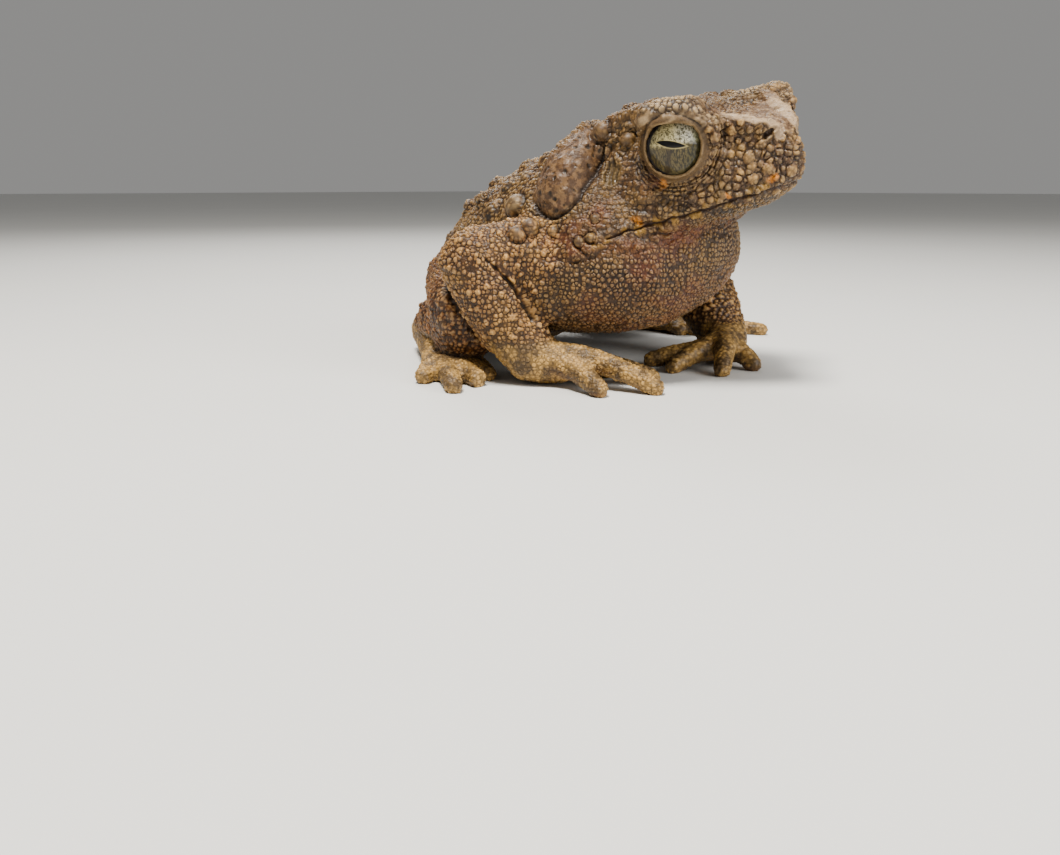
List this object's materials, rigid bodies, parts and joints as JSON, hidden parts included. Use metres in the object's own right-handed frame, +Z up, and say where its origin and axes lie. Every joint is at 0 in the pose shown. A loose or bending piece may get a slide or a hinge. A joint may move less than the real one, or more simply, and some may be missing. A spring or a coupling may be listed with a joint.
{
  "type": "giant river toad model",
  "caption": "Life-size still model of a warty giant river toad sitting with its chest raised on spread hands, head lifted and turned a little",
  "frame": {"origin": "on the floor, under the middle of the model's box", "axes": "+X is the way the toad faces, +Y is its left side and +Z is up; the floor is z = 0"},
  "size_m": [0.2028, 0.217, 0.1167],
  "materials": {
    "skin": "matte",
    "gland": "satin",
    "digits": "satin",
    "eye": "gloss"
  },
  "bodies": {
    "root": {"head": "skin", "lower_jaw": "skin", "torso": "skin", "eye_right": "eye", "eye_left": "eye", "parotoid_gland_right": "gland", "parotoid_gland_left": "gland", "tympanum_right": "gland", "tympanum_left": "gland", "upper_arm_right": "skin", "upper_arm_left": "skin", "forearm_right": "skin", "forearm_left": "skin", "hand_right": "digits", "hand_left": "digits", "thigh_right": "skin", "thigh_left": "skin", "shank_right": "skin", "shank_left": "skin", "foot_right": "digits", "foot_left": "digits"}
  },
  "joints": []
}
